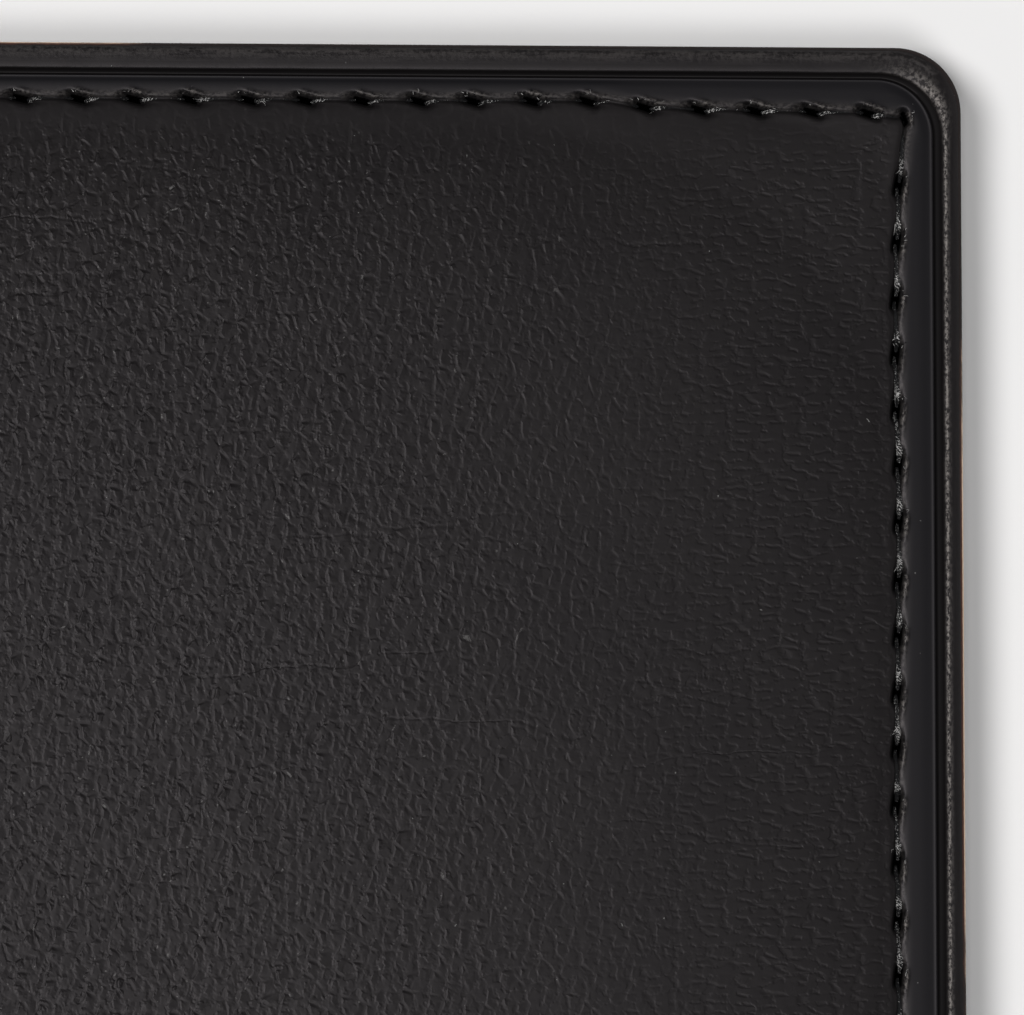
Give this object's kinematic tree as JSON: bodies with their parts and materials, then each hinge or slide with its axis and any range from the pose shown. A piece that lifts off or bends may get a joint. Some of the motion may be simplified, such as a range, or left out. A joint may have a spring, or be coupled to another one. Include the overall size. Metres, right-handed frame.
{
  "type": "form pad cover",
  "caption": "Book-style leather cover for a pad of forms, with creased and stitched edges, a padded front and back, a folding spine and inner pockets.",
  "frame": {"origin": "middle of the closed cover's footprint, on the surface that the back cover lies on", "axes": "+X from the spine to the fore edge, +Y from the tail to the head, +Z from the back cover to the front cover"},
  "size_m": [0.166, 0.236, 0.0082],
  "materials": {
    "leather": "pebbled, satin, black",
    "pocket_leather": "fine grain, satin, black",
    "lining": "matt woven, black",
    "thread": "bonded, slightly glossy, black",
    "board": "grey board",
    "felt": "non-woven"
  },
  "bodies": {
    "back_cover": {"back_leather": "leather", "back_seam_thread": "thread", "back_felt": "felt", "back_board": "board", "back_lining": "lining", "pad_pocket": "pocket_leather", "pad_pocket_thread": "thread"},
    "spine": {"spine_leather": "leather", "spine_lining": "lining", "spine_head_thread": "thread", "spine_tail_thread": "thread"},
    "front_cover": {"front_leather": "leather", "front_seam_thread": "thread", "front_felt": "felt", "front_board": "board", "front_lining": "lining", "document_pocket": "pocket_leather", "document_pocket_thread": "thread", "card_pocket": "pocket_leather", "card_pocket_thread": "thread"}
  },
  "joints": [
    {"name": "spine_fold", "type": "hinge", "parent": "back_cover", "child": "spine", "pos_m": [-0.0819, 0, 0.0025], "axis": [0, -1, 0], "range_deg": [0, 90]},
    {"name": "cover_fold", "type": "hinge", "parent": "spine", "child": "front_cover", "pos_m": [-0.0819, 0, 0.0057], "axis": [0, -1, 0], "range_deg": [0, 90]}
  ]
}
